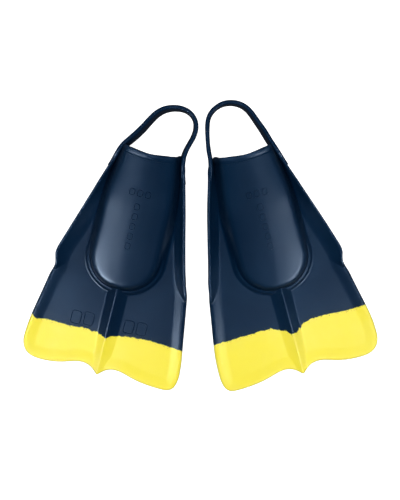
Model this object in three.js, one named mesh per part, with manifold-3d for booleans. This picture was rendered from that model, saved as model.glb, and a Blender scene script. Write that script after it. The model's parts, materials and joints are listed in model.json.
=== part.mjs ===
// A pair of moulded rubber swim fins with heel straps, lying sole down with the heels together.
// Millimetres, +Z up. Each fin is drawn in a frame of its own: X across the fin, Y from the
// trailing edge of the blade towards the heel, and Z up from the floor. The fin is then turned
// and put in its place. A real fin is pressed in one mould from a few charges of rubber, so its
// sections meet face to face here, with the small gap that keeps them separate solids.

import * as THREE from 'three';
import { mergeVertices } from 'three/addons/utils/BufferGeometryUtils.js';
import Module from 'manifold-3d';

const wasm = await Module();
wasm.setup();

// ---------------------------------------------------------------- driving dimensions

const JOIN_GAP = 0.3; // between sections that touch
const PAIR = [
  { name: 'left', outboard: -1, tip: [-137, -163], turn: -14.2, colourY: 54 },
  { name: 'right', outboard: 1, tip: [137, -162], turn: 15.3, colourY: 64 },
];

const RAIL_FOOT_Y = 130; // the side rails start to drop here
const RAIL_SHOULDER_Y = 124; // their outline has stepped in to the blade's here
const RAIL_LEVEL_Y = 118; // and here they are down to the blade's edge beads
const RAIL_START_Y = 288; // and start here, beside the mouth of the foot pocket
const RAIL_FOOT_HALF_WIDTH = 92.4;
const RAIL_SLOPE = 0.277; // widening of the rails towards the blade
const RAIL_LIP = 3;
const RAIL_REACH = 16; // how far the hollow inner face of a rail runs in from the edge
const RAIL_BOTTOM = 2;
const RAIL_TOP_Z = 26; // at the rail's foot, from where its top climbs towards the heel
const RAIL_CLIMB = 0.075;
const BEAD_BOTTOM = 4.5;
const BEAD_HEIGHT = { toe: 3, tip: 1.5 }; // above the web

const BLADE_SHOULDER_Y = 116.4;
const BLADE_SHOULDER_HALF_WIDTH = 91;
const BLADE_FLARE = 0.24; // widening of the blade towards its tip, which eases off
const BLADE_EASE = 0.0007;
const TIP_CORNER = { outboard: 25, inboard: 15 }; // radii of the blade's corners
const TIP_WIDEST_Y = 22;

const FLEX_Y = 102; // the blade bends from this line
const FLEX_Z = 14;
const FLEX_GAP = 1.5; // half the opening at a bending line
const TALL_FLEX_GAP = 2.5; // the same, for the taller beads and ribs
const WEB_THICKNESS = 6;
const TIP_MID_Z = 9;
const TIP_THICKNESS = 3.5;

const RIB_OUTBOARD = 12; // width of the rib's steep flank
const RIB_INBOARD = 14; // width of its soft flank
const RIB_HEIGHT = { toe: 9, tip: 3 };
const RIB_START_Y = 96;
const RIB_END_Y = 4;

const TOE_CENTRE_Y = 158; // the toe of the pocket is half an ellipse about this line
const TOE_LENGTH = 49.6;
const POCKET_HALF_WIDTH = 53.9;
const POCKET_WAIST_Y = 215; // from here the pocket narrows to its mouth
const MOUTH_HALF_WIDTH = 44;
const MOUTH_Y = 296;
const MOUTH_DIP = 9.5; // how far the middle of the mouth's edge lies behind its corners
const WALL = 5;
const SOLE_THICKNESS = 5;
const SOLE_END_Y = 297;
const DOME_TOE_Z = 37;
const DOME_TOE_Y = 123;
const DOME_RISE = 0.147; // the pocket's roof climbs towards the mouth

const STRAP_Y = 310; // the strap swings about this line
const STRAP_Z = 31;
const STRAP_HEIGHT = 21;
const STRAP_THICKNESS = 6;
const LUG_RADIUS = 10.5;
const LUG_X = 41;
// Middle line of each strap: distance towards the other fin, and Y.
const STRAP_LINES = {
  left: [[-41, 312], [-31, 319], [-18.5, 332], [-7, 348.5], [7, 360.5], [24, 365], [38, 361],
    [47, 350], [48.5, 337], [45, 322], [41, 312]],
  right: [[-41, 312], [-32, 322], [-25.5, 339], [-17, 357], [1, 368], [16, 368], [30, 360],
    [37.5, 345], [42, 326], [41, 312]],
};

const NAVY = { color: '#1b2c47', roughness: 0.48, metalness: 0 };
const YELLOW = { color: '#fdee35', roughness: 0.45, metalness: 0 };

// ---------------------------------------------------------------- outlines and heights

const { lerp, clamp, degToRad } = THREE.MathUtils;

function railEdge(y) {
  return RAIL_FOOT_HALF_WIDTH + (RAIL_FOOT_Y - y) * RAIL_SLOPE;
}

function bladeEdge(y) {
  const down = BLADE_SHOULDER_Y - y;
  return BLADE_SHOULDER_HALF_WIDTH + BLADE_FLARE * down - BLADE_EASE * down * down;
}

function edge(y) {
  const blend = clamp((RAIL_FOOT_Y - y) / (RAIL_FOOT_Y - RAIL_SHOULDER_Y), 0, 1);
  return lerp(railEdge(y), bladeEdge(y), blend);
}

function pocketHalfWidth(y) {
  if (y < TOE_CENTRE_Y) {
    const along = (TOE_CENTRE_Y - y) / TOE_LENGTH;
    return POCKET_HALF_WIDTH * Math.sqrt(Math.max(0, 1 - along * along));
  }
  const narrowing = clamp((y - POCKET_WAIST_Y) / (MOUTH_Y - POCKET_WAIST_Y), 0, 1.3);
  return lerp(POCKET_HALF_WIDTH, MOUTH_HALF_WIDTH, narrowing);
}

function domeTop(y) {
  if (y >= DOME_TOE_Y) return DOME_TOE_Z + (y - DOME_TOE_Y) * DOME_RISE;
  const climb = (y - TOE_CENTRE_Y + TOE_LENGTH) / (DOME_TOE_Y - TOE_CENTRE_Y + TOE_LENGTH);
  return lerp(FLEX_Z + WEB_THICKNESS / 2, DOME_TOE_Z, climb);
}

function midZ(y) {
  return lerp(TIP_MID_Z, FLEX_Z, clamp(y / FLEX_Y, 0, 1));
}

function halfThickness(y) {
  return lerp(TIP_THICKNESS, WEB_THICKNESS, clamp(y / FLEX_Y, 0, 1)) / 2;
}

function railReach(y) {
  return Math.min(RAIL_REACH, edge(y) - pocketHalfWidth(y) - JOIN_GAP);
}

function railTop(y) {
  if (y >= RAIL_FOOT_Y) return RAIL_TOP_Z + (y - RAIL_FOOT_Y) * RAIL_CLIMB;
  return lerp(beadTop(y), RAIL_TOP_Z, clamp((y - RAIL_LEVEL_Y) / (RAIL_FOOT_Y - RAIL_LEVEL_Y), 0, 1));
}

function beadTop(y) {
  return midZ(y) + halfThickness(y) + lerp(BEAD_HEIGHT.tip, BEAD_HEIGHT.toe, clamp(y / FLEX_Y, 0, 1));
}

function ribCrest(y) {
  return midZ(y) + halfThickness(y) + lerp(RIB_HEIGHT.tip, RIB_HEIGHT.toe, y / FLEX_Y);
}

// ---------------------------------------------------------------- making solids

function signedVolume(positions, index) {
  const at = (corner) => new THREE.Vector3().fromArray(positions, 3 * index[corner]);
  let six = 0;
  for (let corner = 0; corner < index.length; corner += 3) {
    six += at(corner).dot(at(corner + 1).cross(at(corner + 2)));
  }
  return six;
}

function signedTurn(a, b, c) {
  return (b.x - a.x) * (c.y - a.y) - (b.y - a.y) * (c.x - a.x);
}

// A closed body from its points and triangles, turned so that its faces point out.
function body(positions, index) {
  const outward = signedVolume(positions, index) > 0;
  const turned = outward ? index : [...index].reverse();
  const geometry = new THREE.BufferGeometry();
  geometry.setAttribute('position', new THREE.Float32BufferAttribute(positions, 3));
  geometry.setIndex(turned);
  return geometry;
}

// Triangles over one end of a loft, wound to agree with its sides.
function capTriangles(points, atEnd) {
  const contour = points.map(([x, z]) => new THREE.Vector2(x, z));
  const clockwise = THREE.ShapeUtils.isClockWise(contour);
  const triangles = THREE.ShapeUtils.triangulateShape(contour, []);
  return triangles.map(([a, b, c]) => {
    const follows = signedTurn(contour[a], contour[b], contour[c]) < 0 === clockwise;
    return follows === atEnd ? [a, b, c] : [a, c, b];
  });
}

// Sections of equal point count, each flat at its own y, joined and capped.
function loft(sections) {
  const count = sections[0].points.length;
  const positions = sections.flatMap(({ y, points }) => points.flatMap(([x, z]) => [x, y, z]));
  const index = [];
  for (let section = 0; section + 1 < sections.length; section += 1) {
    for (let point = 0; point < count; point += 1) {
      const here = section * count + point;
      const beside = section * count + ((point + 1) % count);
      index.push(here, beside, beside + count, here, beside + count, here + count);
    }
  }
  for (const section of [0, sections.length - 1]) {
    const start = section * count;
    for (const [a, b, c] of capTriangles(sections[section].points, section > 0)) {
      index.push(start + a, start + b, start + c);
    }
  }
  return body(positions, index);
}

function mergedIndexed(geometry) {
  geometry.deleteAttribute('normal');
  geometry.deleteAttribute('uv');
  return mergeVertices(geometry, 1e-3);
}

// A plan outline given as a shape, with its lower and upper face at heights that vary along Y.
function plate(shape, bottom, top) {
  const flat = new THREE.ExtrudeGeometry(shape, { depth: 1, bevelEnabled: false, curveSegments: 8 });
  const geometry = mergedIndexed(flat);
  const position = geometry.getAttribute('position');
  for (let vertex = 0; vertex < position.count; vertex += 1) {
    const y = position.getY(vertex);
    position.setZ(vertex, lerp(bottom(y), top(y), position.getZ(vertex)));
  }
  return body(Array.from(position.array), Array.from(geometry.index.array));
}

function shapeOf(points) {
  return new THREE.Shape(points.map(([x, y]) => new THREE.Vector2(x, y)));
}

function toSolid(geometry) {
  const numProp = 3;
  const vertProperties = Float32Array.from(geometry.getAttribute('position').array);
  const triVerts = Uint32Array.from(geometry.index.array);
  return new wasm.Manifold(new wasm.Mesh({ numProp, vertProperties, triVerts }));
}

function fromSolid(solid) {
  const mesh = solid.getMesh();
  return body(Array.from(mesh.vertProperties), Array.from(mesh.triVerts));
}

function steps(from, to, count) {
  return Array.from({ length: count + 1 }, (_, step) => lerp(from, to, step / count));
}

// ---------------------------------------------------------------- foot pocket

// Half-round arch over the foot: steep sides and a nearly flat roof.
function archPoints(halfWidth, floor, roof, wallTop) {
  const shoulder = halfWidth * 0.8;
  const half = [
    [halfWidth, floor],
    [halfWidth, wallTop],
    [lerp(halfWidth, shoulder, 0.5), lerp(wallTop, roof, 0.55)],
    [shoulder, lerp(wallTop, roof, 0.85)],
    [halfWidth * 0.5, lerp(wallTop, roof, 0.98)],
  ];
  const other = half.map(([x, z]) => [-x, z]).reverse();
  return [...half, [0, roof], ...other];
}

const ARCH_YS = [109.2, 111, 114, 118, 123, 130, 140, 158, 180, 215, 256, 296, 318];

function archLoft(shrink, floor) {
  const wallTop = FLEX_Z + WEB_THICKNESS / 2;
  const sections = ARCH_YS.map((y) => {
    const roof = domeTop(y) - shrink;
    const wall = Math.min(wallTop, roof - 0.5);
    return {
      y: y + shrink,
      points: archPoints(pocketHalfWidth(y) - shrink, floor, roof, wall),
    };
  });
  return toSolid(loft(sections));
}

function mouthY(x) {
  return MOUTH_Y + MOUTH_DIP * (x / MOUTH_HALF_WIDTH) ** 2;
}

// Everything behind the curved edge of the mouth, as a block to cut away.
function behindMouth() {
  const far = STRAP_Y + 60;
  const curve = steps(-60, 60, 12).map((x) => [x, mouthY(clamp(x, -46, 46))]);
  const shape = shapeOf([...curve, [60, far], [-60, far]]);
  return toSolid(plate(shape, () => -5, () => 90));
}

// Disc on the strap's swing line, for a lug or for the clearance round one.
function swingDisc(x, radius, thickness) {
  const disc = new THREE.CylinderGeometry(radius, radius, thickness, 24);
  disc.rotateZ(Math.PI / 2);
  disc.translate(x, STRAP_Y, STRAP_Z);
  return toSolid(mergedIndexed(disc));
}

function lugNeck(x) {
  const neck = new THREE.BoxGeometry(STRAP_THICKNESS, 14, LUG_RADIUS * 1.6);
  neck.translate(x, STRAP_Y - 9, STRAP_Z);
  return toSolid(mergedIndexed(neck));
}

function pocketUpper() {
  const floor = SOLE_THICKNESS + JOIN_GAP;
  let upper = archLoft(0, floor).subtract(archLoft(WALL, floor - 10)).subtract(behindMouth());
  for (const side of [-1, 1]) {
    upper = upper.add(swingDisc(side * LUG_X, LUG_RADIUS, STRAP_THICKNESS));
    upper = upper.add(lugNeck(side * LUG_X));
  }
  return fromSolid(upper);
}

function pocketSole() {
  const toe = steps(-1, 1, 24).map((part) => {
    const angle = part * Math.PI / 2;
    return [POCKET_HALF_WIDTH * Math.sin(angle), TOE_CENTRE_Y - TOE_LENGTH * Math.cos(angle)];
  });
  const sides = [
    [POCKET_HALF_WIDTH, POCKET_WAIST_Y],
    [MOUTH_HALF_WIDTH, SOLE_END_Y],
    [-MOUTH_HALF_WIDTH, SOLE_END_Y],
    [-POCKET_HALF_WIDTH, POCKET_WAIST_Y],
  ];
  return plate(shapeOf([...toe, ...sides]), () => 0, () => SOLE_THICKNESS);
}

// ---------------------------------------------------------------- side rails and webs

function railSection(y, side) {
  const outer = edge(y);
  const reach = railReach(y);
  const lip = Math.min(RAIL_LIP, reach * 0.6);
  const top = railTop(y);
  const webTop = midZ(y) + halfThickness(y);
  const webBottom = midZ(y) - halfThickness(y);
  const bottom = lerp(BEAD_BOTTOM, RAIL_BOTTOM, clamp((y - FLEX_Y) / 25, 0, 1));
  const points = [
    [outer, bottom],
    [outer, top],
    [outer - lip, top],
    [outer - lerp(lip, reach, 0.4), lerp(top, webTop, 0.7)],
    [outer - reach, webTop],
    [outer - reach, webBottom],
    [outer - Math.min(8, reach * 0.6), bottom],
  ];
  return { y, points: points.map(([x, z]) => [side * x, z]) };
}

function sideRail(side) {
  const bend = FLEX_Y + TALL_FLEX_GAP;
  const tall = [RAIL_START_Y, 256, POCKET_WAIST_Y, 209, 175, 145, RAIL_FOOT_Y];
  const ys = [...tall, RAIL_SHOULDER_Y, RAIL_LEVEL_Y, bend];
  return loft(ys.map((y) => railSection(y, side)));
}

// Flat web between a rail and the foot pocket, ending at the line where the blade bends.
function sideWeb(side) {
  const topY = 208;
  const lowY = FLEX_Y + FLEX_GAP;
  const centre = JOIN_GAP / 2;
  const railYs = [lowY, RAIL_LEVEL_Y, RAIL_SHOULDER_Y, RAIL_FOOT_Y, topY];
  const rail = railYs.map((y) => [edge(y) - RAIL_REACH - JOIN_GAP, y]);
  const toe = steps(0, 1, 14).map((part) => {
    const angle = (1 - part) * Math.PI / 2;
    const across = (POCKET_HALF_WIDTH + JOIN_GAP) * Math.sin(angle);
    const along = TOE_CENTRE_Y - (TOE_LENGTH + JOIN_GAP) * Math.cos(angle);
    return [Math.max(centre, across), along];
  });
  const corner = [POCKET_HALF_WIDTH + JOIN_GAP, topY];
  const outline = [[centre, lowY], ...rail, corner, ...toe];
  const shape = shapeOf(outline.map(([x, y]) => [side * x, y]));
  return plate(shape, () => FLEX_Z - WEB_THICKNESS / 2, () => FLEX_Z + WEB_THICKNESS / 2);
}

// ---------------------------------------------------------------- blade

function bladePanel(colourY) {
  const ys = steps(FLEX_Y - FLEX_GAP, colourY + FLEX_GAP, 3);
  return loft(ys.map((y) => {
    const halfWidth = edge(y) - RAIL_REACH - JOIN_GAP;
    const low = midZ(y) - halfThickness(y);
    const high = midZ(y) + halfThickness(y);
    return { y, points: [[halfWidth, low], [halfWidth, high], [-halfWidth, high], [-halfWidth, low]] };
  }));
}

function edgeBead(side, colourY) {
  const ys = steps(FLEX_Y - TALL_FLEX_GAP, colourY + TALL_FLEX_GAP, 4);
  return loft(ys.map((y) => {
    const outer = edge(y);
    const webTop = midZ(y) + halfThickness(y);
    const points = [
      [outer, BEAD_BOTTOM + 2],
      [outer, webTop],
      [outer - 4, beadTop(y)],
      [outer - RAIL_REACH + 5, beadTop(y)],
      [outer - RAIL_REACH, webTop],
      [outer - RAIL_REACH, midZ(y) - halfThickness(y)],
      [outer - RAIL_REACH + 5, BEAD_BOTTOM],
      [outer - 4, BEAD_BOTTOM],
    ];
    return { y, points: points.map(([x, z]) => [side * x, z]) };
  }));
}

function ribLoft(outboard, ys) {
  return loft(ys.map((y) => {
    const base = midZ(y) + halfThickness(y) + JOIN_GAP;
    const taper = lerp(0.7, 1, clamp(y / FLEX_Y, 0, 1));
    return {
      y,
      points: [
        [outboard * RIB_OUTBOARD * taper, base],
        [0, Math.max(base + 0.5, ribCrest(y))],
        [-outboard * RIB_INBOARD * taper, base],
      ],
    };
  }));
}

// Trailing edge from the middle to one corner: a pointed bump, a hollow, a lobe, a round corner.
function trailingHalf(radius) {
  const path = new THREE.Path();
  const widest = bladeEdge(TIP_WIDEST_Y);
  path.moveTo(0, -2.5);
  path.bezierCurveTo(5, -1, 10, 8.6, 23, 8.6);
  path.bezierCurveTo(38, 8.6, 48, 0, widest - radius - 8, 0);
  path.lineTo(widest - radius, 0);
  path.quadraticCurveTo(widest - radius * 0.12, radius * 0.08, widest, radius);
  return path.getPoints(7).map((point) => [point.x, point.y]);
}

function tipPanel(outboard, colourY) {
  const startY = colourY - FLEX_GAP;
  const outer = trailingHalf(TIP_CORNER.outboard);
  const inner = trailingHalf(TIP_CORNER.inboard);
  const flank = (from) => steps(Math.max(TIP_WIDEST_Y, from) + 4, startY, 3).map((y) => [edge(y), y]);
  const outerSide = [...outer, ...flank(TIP_CORNER.outboard)];
  const innerSide = [...inner, ...flank(TIP_CORNER.inboard)].slice(1);
  const outline = [
    ...outerSide.map(([x, y]) => [outboard * x, y]),
    ...innerSide.map(([x, y]) => [-outboard * x, y]).reverse(),
  ];
  const low = (y) => midZ(y) - halfThickness(y);
  const high = (y) => midZ(y) + halfThickness(y);
  return plate(shapeOf(outline), low, high);
}

// ---------------------------------------------------------------- heel strap

function heelStrap({ name, outboard }) {
  const line = STRAP_LINES[name].map(([x, y]) => new THREE.Vector3(-outboard * x, y, 0));
  const curve = new THREE.CatmullRomCurve3(line);
  const inner = [];
  const outer = [];
  for (const part of steps(0, 1, 40)) {
    const point = curve.getPoint(part);
    const tangent = curve.getTangent(part);
    const offset = new THREE.Vector3(-tangent.y, tangent.x, 0).multiplyScalar(STRAP_THICKNESS / 2);
    inner.push([point.x + offset.x, point.y + offset.y]);
    outer.push([point.x - offset.x, point.y - offset.y]);
  }
  const shape = shapeOf([...outer, ...inner.reverse()]);
  const low = STRAP_Z - STRAP_HEIGHT / 2;
  let strap = toSolid(plate(shape, () => low, () => low + STRAP_HEIGHT));
  for (const side of [-1, 1]) {
    strap = strap.subtract(swingDisc(side * LUG_X, LUG_RADIUS + JOIN_GAP, STRAP_THICKNESS * 3));
  }
  return fromSolid(strap);
}

// ---------------------------------------------------------------- the pair

function mesh(name, geometry, look) {
  const shaded = geometry.toNonIndexed();
  shaded.computeVertexNormals();
  const piece = new THREE.Mesh(shaded, new THREE.MeshStandardMaterial(look));
  piece.name = name;
  return piece;
}

function fin(placing) {
  const { name, outboard, tip, turn, colourY } = placing;
  const ribYs = steps(RIB_START_Y, colourY + TALL_FLEX_GAP, 2);
  const tipRibYs = steps(colourY - TALL_FLEX_GAP, RIB_END_Y, 2);
  const sections = {
    foot_pocket_upper: [pocketUpper(), NAVY],
    foot_pocket_sole: [pocketSole(), NAVY],
    side_rail_outer: [sideRail(outboard), NAVY],
    side_rail_inner: [sideRail(-outboard), NAVY],
    side_web_outer: [sideWeb(outboard), NAVY],
    side_web_inner: [sideWeb(-outboard), NAVY],
    blade_panel: [bladePanel(colourY), NAVY],
    edge_bead_outer: [edgeBead(outboard, colourY), NAVY],
    edge_bead_inner: [edgeBead(-outboard, colourY), NAVY],
    centre_rib: [ribLoft(outboard, ribYs), NAVY],
    blade_tip: [tipPanel(outboard, colourY), YELLOW],
    tip_rib: [ribLoft(outboard, tipRibYs), YELLOW],
    heel_strap: [heelStrap(placing), NAVY],
  };
  const group = new THREE.Group();
  for (const [section, [geometry, look]] of Object.entries(sections)) {
    group.add(mesh(`${name}_${section}`, geometry, look));
  }
  group.rotation.z = degToRad(turn);
  group.position.set(tip[0], tip[1], 0);
  return group;
}

const pair = new THREE.Group();
for (const placing of PAIR) {
  pair.add(fin(placing));
}
pair.updateMatrixWorld(true);

// The origin is the middle of the pair's footprint, on the floor.
const middle = new THREE.Box3().setFromObject(pair, true).getCenter(new THREE.Vector3());
pair.position.set(-middle.x, -middle.y, 0);

export default pair;
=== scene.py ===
# %% [markdown]
# # A pair of moulded rubber swim fins
#
# Short, stiff fins are pressed in a mould from a few charges of rubber: a soft one for the
# foot pocket and the strap, a harder one for the rails and the blade, and here a yellow one
# for the tip. Nothing is glued or screwed on, so every shape flows into the next with a small
# fillet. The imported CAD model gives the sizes, the bodies and the joints. This file makes the
# smooth rubber that is seen. It is written as a lesson, in steps that can be run one by one.

# %% Load the fixed frame
import json
import math

import bmesh
import bpy
import numpy as np
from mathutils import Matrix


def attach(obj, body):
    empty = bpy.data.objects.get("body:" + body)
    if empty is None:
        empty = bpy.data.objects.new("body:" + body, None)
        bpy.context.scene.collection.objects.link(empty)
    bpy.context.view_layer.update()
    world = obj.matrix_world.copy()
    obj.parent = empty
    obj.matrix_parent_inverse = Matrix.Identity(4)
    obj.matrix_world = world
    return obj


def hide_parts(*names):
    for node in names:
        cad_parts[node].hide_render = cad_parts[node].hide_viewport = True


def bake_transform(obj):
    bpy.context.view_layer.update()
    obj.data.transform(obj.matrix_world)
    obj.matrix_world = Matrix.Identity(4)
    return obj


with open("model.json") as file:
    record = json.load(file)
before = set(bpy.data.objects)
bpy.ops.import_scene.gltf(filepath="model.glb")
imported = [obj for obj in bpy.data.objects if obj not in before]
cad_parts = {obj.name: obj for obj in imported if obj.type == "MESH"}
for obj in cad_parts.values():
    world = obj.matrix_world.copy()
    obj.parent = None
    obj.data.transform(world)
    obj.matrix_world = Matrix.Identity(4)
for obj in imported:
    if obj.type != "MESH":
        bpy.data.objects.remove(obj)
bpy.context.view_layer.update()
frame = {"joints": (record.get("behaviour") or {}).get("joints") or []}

# %% [markdown]
# ## Each fin's own frame
#
# The two fins lie splayed apart, but a mould maker draws one fin straight. So each fin is
# drawn in millimetres in a frame of its own: `a` runs across it towards the other fin, `y`
# from the trailing edge of the blade to the heel, and `z` up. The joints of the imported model
# say where that frame lies: the blade bends at y = 102 and the strap swings at y = 310. The
# right fin is the mirror image, so its faces are turned round to point outwards again.

# %% Fin frames from the joints
MM = 0.001
FLEX_Y = 102.0
STRAP_Y = 310.0
STRAP_Z = 31.0
JOINTS = {joint["name"]: joint for joint in frame["joints"]}


class Fin:
    """Where one fin lies, and what differs between the two."""

    def __init__(self, name, mirrored, colour_y, sides, colour_points, strap_line):
        self.name = name
        self.mirrored = mirrored
        self.colour_y = colour_y
        self.sides = sides
        self.colour_points = colour_points
        self.strap_line = strap_line
        flex = np.array(JOINTS[f"{name}_blade_flex"]["pos_m"][:2]) / MM
        heel = np.array(JOINTS[f"{name}_strap_swing"]["pos_m"][:2]) / MM
        self.along = (heel - flex) / np.linalg.norm(heel - flex)
        self.across = np.array([self.along[1], -self.along[0]]) * (-1 if mirrored else 1)
        self.origin = flex - FLEX_Y * self.along
        self.length_error = np.linalg.norm(heel - flex) - (STRAP_Y - FLEX_Y)

    def place(self, points):
        """Points (a, y, z) in the fin's millimetres, as metres in the shared frame."""
        points = np.asarray(points, float)
        flat = self.origin + points[..., :1] * self.across + points[..., 1:2] * self.along
        return np.concatenate([flat, points[..., 2:]], axis=-1) * MM


# %% [markdown]
# ## The numbers that shape each fin
#
# A fin's side is not one clean curve: the blade narrows towards the toe, the rail bulges out
# where it begins, and then runs straight to the heel. So each side is a short table of half
# widths. The line of the colour change and the path of the strap are tables too.

# %% Tables of half widths, colour lines and straps
STATIONS = [-5, 20, 30, 40, 50, 60, 80, 100, 112, 118, 122, 126, 130, 134, 138, 142, 146,
            150, 154, 158, 170, 190, 210, 230, 250, 270, 280, 290, 300, 310]
LEFT_SIDES = {
    "outboard": [106.4, 106.4, 106.1, 105.4, 104.1, 102.6, 98.8, 95.1, 93.0, 91.4, 89.6, 88.3,
                 88.2, 89.2, 90.4, 91.2, 91.0, 90.2, 89.1, 87.7, 83.7, 77.1, 70.5, 64.0, 57.6,
                 50.8, 47.4, 44.4, 43.4, 43.4],
    "inboard": [107.5, 107.5, 106.7, 105.8, 104.2, 102.5, 99.3, 96.2, 94.2, 93.2, 92.5, 91.6,
                90.4, 88.9, 87.4, 86.2, 85.1, 84.0, 82.6, 81.5, 78.3, 73.2, 68.3, 63.5, 58.3,
                53.0, 50.2, 47.8, 46.8, 46.6],
}
RIGHT_SIDES = {
    "outboard": [108.4, 108.4, 108.4, 108.0, 106.6, 104.9, 100.5, 96.4, 94.0, 92.4, 90.6, 89.1,
                 88.6, 89.4, 90.6, 91.5, 91.3, 90.6, 89.5, 88.1, 84.4, 77.9, 71.1, 64.2, 57.4,
                 50.3, 46.8, 44.4, 43.4, 43.4],
    "inboard": [109.0, 109.0, 109.0, 108.6, 107.8, 106.4, 103.2, 99.7, 97.8, 96.7, 96.0, 95.1,
                94.1, 93.2, 92.6, 91.9, 91.1, 90.1, 88.9, 87.8, 84.6, 79.6, 74.6, 69.5, 63.9,
                57.7, 54.8, 52.2, 50.2, 49.0],
}

# The line between the two rubbers: places across the fin and the y of the line there.
LEFT_COLOUR = [(-110, 56.5), (-101, 55.0), (-98, 51.0), (-88, 51.8), (-77, 53.2), (-66, 52.4),
               (-53, 51.8), (-39, 53.0), (-22, 53.4), (-14, 52.6), (-7, 49.6), (-1, 47.8),
               (3, 49.6), (9, 52.0), (21, 55.6), (40, 57.4), (54, 58.6), (74, 57.4), (110, 55.4)]
RIGHT_COLOUR = [(-110, 65.6), (-95, 64.6), (-78, 63.4), (-63, 64.7), (-43, 66.1), (-26, 65.4),
                (-19, 62.9), (-14, 59.6), (-9, 55.4), (-3, 53.2), (0, 53.0), (4, 55.2),
                (9, 58.8), (16, 62.6), (24, 66.0), (32, 67.2), (44, 67.0), (74, 66.2),
                (110, 66.0)]

# Each strap from its outboard root round the heel to its inboard root: a, y and how far in
# degrees the upright band leans outwards at the top.
LEFT_STRAP = [(-49.5, 270, 0), (-45.5, 281, 0), (-42.3, 290, 2), (-39.4, 297, 6),
              (-35.5, 303, 10), (-30.2, 310, 12), (-24.2, 318.6, 13), (-20.2, 325, 13),
              (-17, 330.5, 12), (-12.5, 339.2, 11), (-7.7, 347.4, 10), (-3.8, 352.4, 9),
              (0.6, 356.6, 8), (5.9, 360, 7), (12, 362.6, 5), (19, 364.3, 4), (26.4, 364.7, 2),
              (34.1, 363.2, 1), (40.8, 359.2, 1), (45.7, 353.3, 3), (48.2, 345.9, 6),
              (48.7, 338.4, 8), (47.7, 331.3, 9), (46, 325, 9), (44.2, 319, 9),
              (42.8, 312.5, 9), (42.0, 305, 9), (43.0, 298, 6), (44.6, 290, 2), (47.4, 281, 0),
              (50.8, 270, 0)]
RIGHT_STRAP = [(-49.5, 270, 0), (-45.5, 281, 0), (-42.0, 290, 2), (-39.2, 297, 6),
               (-36.6, 304, 8), (-34.8, 309.5, 9), (-32.5, 317.9, 9), (-30.2, 325, 8),
               (-27.9, 331.3, 7), (-25.8, 337.3, 6), (-23.7, 343.3, 6), (-21.2, 349.6, 5),
               (-17.7, 355.7, 4), (-12.8, 361, 3), (-6.6, 365.1, 2), (0.5, 367.8, 1),
               (8, 368.9, 1), (15.6, 368, 0), (22.8, 365.2, 0), (29, 360.9, 1),
               (33.5, 355.4, 2), (36.4, 348.8, 3), (38.4, 342.5, 3), (39.9, 336.6, 2),
               (41.2, 330.8, 2), (42.4, 325, 2), (43.5, 318.8, 3), (44.4, 311.8, 4),
               (44.9, 304.3, 4), (46.0, 298, 4), (48.2, 290, 2), (51.2, 281, 0), (54.8, 270, 0)]

FINS = [
    Fin("left", mirrored=False, colour_y=54.0, sides=LEFT_SIDES, colour_points=LEFT_COLOUR,
        strap_line=LEFT_STRAP),
    Fin("right", mirrored=True, colour_y=64.0, sides=RIGHT_SIDES, colour_points=RIGHT_COLOUR,
        strap_line=RIGHT_STRAP),
]
for fin in FINS:
    print(fin.name, "axis", fin.along.round(4), "length error", round(fin.length_error, 3), "mm")

# %% [markdown]
# ## Camera and light
#
# The fins are seen from straight above, as on a light table: a long lens over the middle of
# the pair. Two soft lights hang quite close, one to each side and half way up, and a wide
# panel hangs over everything. The side lights give only a sheen and the panel only the
# general light, so that each can be set alone. Whatever tilts a little to a side light
# shines softly, and every steep wall stays nearly black.

# %% Camera above the pair
CAMERA_HEIGHT = 1.30
PAIR_MIDDLE = (0.0004, -0.0045)
SEEN_HEIGHT = 0.665  # metres of the table, from the top of the view to the bottom
SEEN_AT_Z = 0.012  # the height above the floor where that is so

camera_data = bpy.data.cameras.new("camera")
camera_data.sensor_width = 36.0
camera_data.lens = camera_data.sensor_width * (CAMERA_HEIGHT - SEEN_AT_Z) / SEEN_HEIGHT
camera = bpy.data.objects.new("camera", camera_data)
camera.location = (*PAIR_MIDDLE, CAMERA_HEIGHT)
bpy.context.scene.collection.objects.link(camera)
bpy.context.scene.camera = camera
bpy.context.scene.view_settings.view_transform = "Standard"
print("lens", round(camera_data.lens, 1), "mm")


# %% Soft lights on both sides and a panel above
SIDE_LIGHT_PLACE = (0.57, -0.32, 0.66)
SIDE_LIGHT_AIM = (0.15, -0.02, 0.02)
SIDE_LIGHT_SIZE = (0.48, 0.22)
SIDE_LIGHT_SPREAD = 30
SIDE_LIGHT_POWERS = {"left": 0.46, "right": 0.33}
PANEL_SIZE = (1.5, 1.5)
PANEL_POWER = 42.0
SKY_COLOUR = (0.80, 0.88, 1.0, 1.0)
SKY_STRENGTH = 0.06


def softbox(name, place, aim, size, power, spread):
    """A rectangular soft light at place, turned to face aim; its spread is in degrees."""
    data = bpy.data.lights.new(name, "AREA")
    data.shape = "RECTANGLE"
    data.size, data.size_y = size
    data.energy = power
    data.spread = math.radians(spread)
    light = bpy.data.objects.new(name, data)
    light.location = place
    towards = np.array(aim) - np.array(place)
    pitch = math.atan2(math.hypot(towards[0], towards[1]), -towards[2])
    light.rotation_euler = (pitch, 0, math.atan2(towards[1], towards[0]) - math.pi / 2)
    bpy.context.scene.collection.objects.link(light)
    return light


side_lights = {}
for side, power in SIDE_LIGHT_POWERS.items():
    flip = np.array([-1 if side == "left" else 1, 1, 1])
    light = softbox(f"light_{side}", flip * SIDE_LIGHT_PLACE, flip * SIDE_LIGHT_AIM,
                    SIDE_LIGHT_SIZE, power, SIDE_LIGHT_SPREAD)
    light.visible_diffuse = False
    side_lights[side] = light
panel = softbox("light_panel", (0.0, 0.0, 2.0), (0.0, 0.0, 0.0), PANEL_SIZE, PANEL_POWER, 180)
panel.visible_glossy = False

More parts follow.
